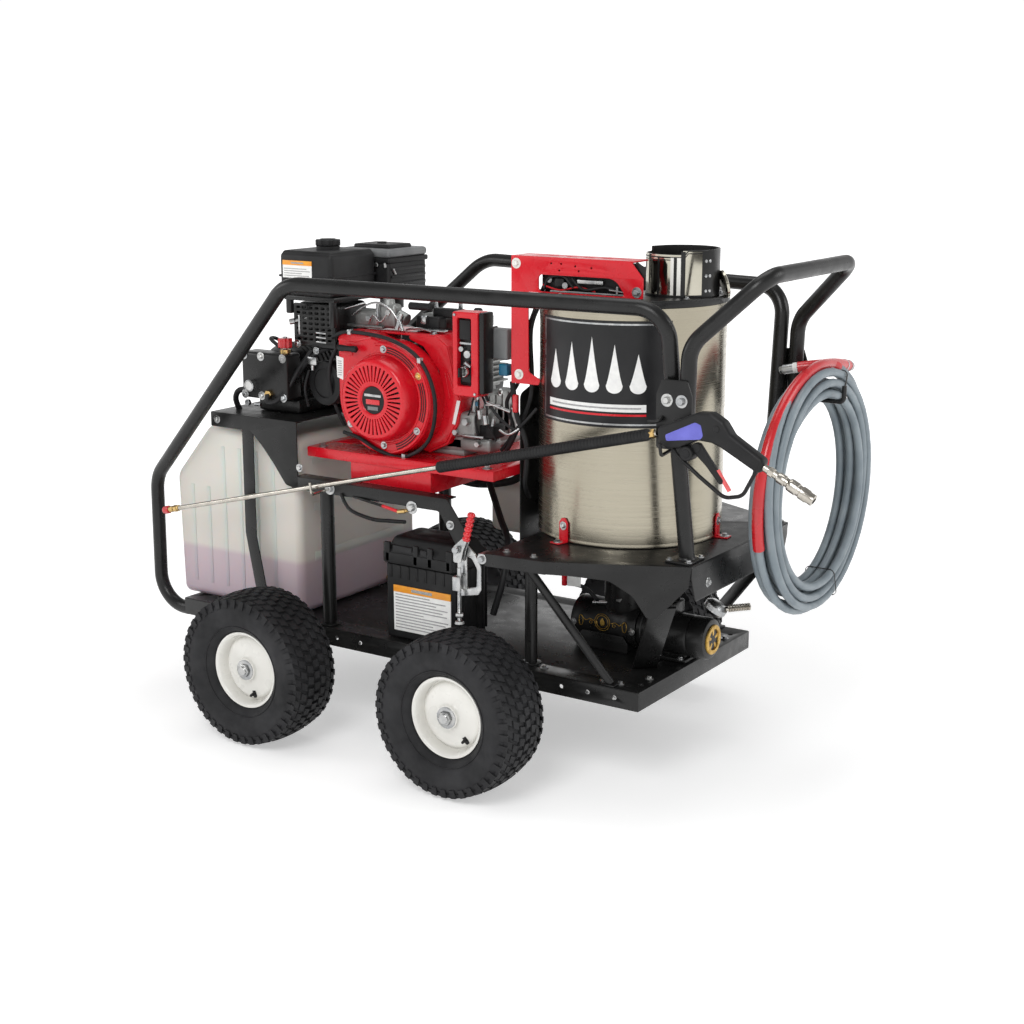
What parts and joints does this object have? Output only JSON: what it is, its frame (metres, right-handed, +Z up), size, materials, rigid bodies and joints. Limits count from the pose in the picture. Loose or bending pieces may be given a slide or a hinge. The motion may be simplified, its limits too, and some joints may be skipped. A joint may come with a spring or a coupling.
{
  "type": "hot-water pressure washer",
  "caption": "Wheeled hot-water pressure washer with a petrol engine, belt-driven pump, upright coil heater, fuel tank, tubular frame, gun and coiled hose.",
  "frame": {"origin": "on the ground, under the middle of the machine (middle of its bounding box without the hose)", "axes": "+Z up, +X along the machine towards the push handle, -Y the side where the gun hangs"},
  "size_m": [2.0558, 1.112, 1.302],
  "materials": {
    "black_powder_coat": "satin black powder coat",
    "red_powder_coat": "glossy red powder coat",
    "white_paint": "white enamel",
    "stainless": "brushed stainless steel",
    "zinc": "bright zinc plate",
    "alloy": "grey die-cast aluminium",
    "chrome": "polished",
    "brass": "machined brass",
    "black_plastic": "moulded black plastic",
    "white_poly": "translucent moulded polyethylene",
    "tyre_rubber": "moulded tread rubber",
    "belt_rubber": "fabric-faced rubber",
    "hose_rubber": "grey smooth hose cover"
  },
  "bodies": {
    "machine": {"base_plate": "black_powder_coat", "upper_deck": "black_powder_coat", "hoop_near": "black_powder_coat", "hoop_far": "black_powder_coat", "push_handle": "black_powder_coat", "handle_bracket_near": "black_powder_coat", "handle_bracket_far": "black_powder_coat", "tank_bracket_near": "black_powder_coat", "tank_bracket_far": "black_powder_coat", "engine_plate": "red_powder_coat", "front_axle": "zinc", "rear_axle": "zinc", "diesel_tank": "white_poly", "engine_block": "alloy", "fan_shroud": "red_powder_coat", "recoil_cover": "red_powder_coat", "muffler": "black_powder_coat", "air_cleaner": "black_plastic", "petrol_tank": "black_plastic", "switch_box": "red_powder_coat", "pump_body": "alloy", "drive_belt": "belt_rubber", "belt_guard": "black_powder_coat", "coil_tank": "stainless", "heating_coil": "zinc", "tank_lid": "black_powder_coat", "exhaust_stack": "chrome", "control_bracket": "red_powder_coat", "control_box": "black_plastic", "burner": "black_powder_coat", "burner_motor": "black_powder_coat", "battery_box": "black_plastic", "brake_mount": "zinc", "hose_coil": "hose_rubber", "hose_fitting": "zinc"},
    "wheel_front_near": {"tyre_front_near": "tyre_rubber", "rim_front_near": "white_paint"},
    "wheel_front_far": {"tyre_front_far": "tyre_rubber", "rim_front_far": "white_paint"},
    "wheel_rear_near": {"tyre_rear_near": "tyre_rubber", "rim_rear_near": "white_paint"},
    "wheel_rear_far": {"tyre_rear_far": "tyre_rubber", "rim_rear_far": "white_paint"},
    "brake_handle": {"brake_lever": "red_powder_coat"},
    "brake_foot": {"brake_plunger": "zinc"},
    "fuel_tank_cap": {"diesel_cap": "black_plastic"},
    "engine_tank_cap": {"petrol_cap": "black_plastic"},
    "key": {"ignition_key": "black_plastic"},
    "throttle": {"throttle_lever": "zinc"},
    "choke": {"choke_lever": "zinc"},
    "starter_grip": {"recoil_grip": "black_plastic"},
    "engine_shaft": {"crankshaft": "alloy"},
    "pump_shaft": {"pump_pulley": "alloy"},
    "pressure_knob": {"unloader_knob": "red_powder_coat"},
    "heat_knob": {"thermostat_knob": "black_plastic"},
    "battery_cover": {"battery_lid": "black_plastic"},
    "gun": {"gun_body": "black_plastic", "lance": "chrome"},
    "trigger": {"gun_trigger": "black_plastic"},
    "nozzle_tip": {"nozzle": "brass"}
  },
  "joints": [
    {"name": "front_near_wheel_spin", "type": "hinge", "parent": "machine", "child": "wheel_front_near", "pos_m": [-0.473, -0.4735, 0.203], "axis": [0, 1, 0], "continuous": true},
    {"name": "front_far_wheel_spin", "type": "hinge", "parent": "machine", "child": "wheel_front_far", "pos_m": [-0.473, 0.4735, 0.203], "axis": [0, 1, 0], "continuous": true},
    {"name": "rear_near_wheel_spin", "type": "hinge", "parent": "machine", "child": "wheel_rear_near", "pos_m": [0.172, -0.4735, 0.203], "axis": [0, 1, 0], "continuous": true},
    {"name": "rear_far_wheel_spin", "type": "hinge", "parent": "machine", "child": "wheel_rear_far", "pos_m": [0.172, 0.4735, 0.203], "axis": [0, 1, 0], "continuous": true},
    {"name": "brake_lever_turn", "type": "hinge", "parent": "machine", "child": "brake_handle", "pos_m": [0.15, -0.436, 0.599], "axis": [0, -1, 0], "range_deg": [0, 80]},
    {"name": "brake_plunger_slide", "type": "slide", "parent": "machine", "child": "brake_foot", "axis": [0, 0, 1], "range_m": [0, 0.0225]},
    {"name": "diesel_cap_turn", "type": "hinge", "parent": "machine", "child": "fuel_tank_cap", "pos_m": [-0.893, 0, 0.701], "axis": [-0.7554, 0, 0.6553], "range_deg": [0, 120]},
    {"name": "petrol_cap_turn", "type": "hinge", "parent": "machine", "child": "engine_tank_cap", "pos_m": [-0.47, -0.15, 1.284], "axis": [0, 0, 1], "range_deg": [0, 90]},
    {"name": "ignition_key_turn", "type": "hinge", "parent": "machine", "child": "key", "pos_m": [0.004, -0.214, 0.985], "axis": [0, 1, 0], "range_deg": [0, 60]},
    {"name": "throttle_turn", "type": "hinge", "parent": "machine", "child": "throttle", "pos_m": [-0.21, -0.0225, 1.1075], "axis": [0, 1, 0], "range_deg": [0, 45]},
    {"name": "choke_turn", "type": "hinge", "parent": "machine", "child": "choke", "pos_m": [-0.13, -0.0225, 1.1075], "axis": [0, 1, 0], "range_deg": [0, 45]},
    {"name": "starter_pull", "type": "slide", "parent": "machine", "child": "starter_grip", "axis": [0, -1, 0], "range_m": [0, 0.4], "stiffness_N_per_m": 30},
    {"name": "engine_spin", "type": "hinge", "parent": "machine", "child": "engine_shaft", "pos_m": [-0.242, 0, 0.896], "axis": [0, 1, 0], "continuous": true},
    {"name": "pump_spin", "type": "hinge", "parent": "machine", "child": "pump_shaft", "pos_m": [-0.61, 0, 0.93], "axis": [0, 1, 0], "continuous": true},
    {"name": "unloader_turn", "type": "hinge", "parent": "machine", "child": "pressure_knob", "pos_m": [-0.57, -0.218, 1.017], "axis": [0, 0, 1], "range_deg": [0, 340]},
    {"name": "thermostat_turn", "type": "hinge", "parent": "machine", "child": "heat_knob", "pos_m": [0.3, -0.08, 1.232], "axis": [0, 1, 0], "range_deg": [0, 270]},
    {"name": "battery_lid_lift", "type": "slide", "parent": "machine", "child": "battery_cover", "axis": [0, 0, 1], "range_m": [0, 0.08]},
    {"name": "gun_lift", "type": "slide", "parent": "machine", "child": "gun", "axis": [0, 0, 1], "range_m": [0, 0.06]},
    {"name": "trigger_squeeze", "type": "hinge", "parent": "gun", "child": "trigger", "pos_m": [0.736, -0.35, 0.896], "axis": [0, -1, 0], "range_deg": [0, 15], "stiffness_Nm_per_rad": 0.5},
    {"name": "nozzle_pull", "type": "slide", "parent": "gun", "child": "nozzle_tip", "axis": [-0.9713, -0.0082, -0.2379], "range_m": [0, 0.02]}
  ],
  "couplings": [
    {"joint": "brake_plunger_slide", "follows": "brake_lever_turn", "m_per_rad": 0.01576},
    {"joint": "pump_spin", "follows": "engine_spin", "ratio": 0.6087}
  ]
}
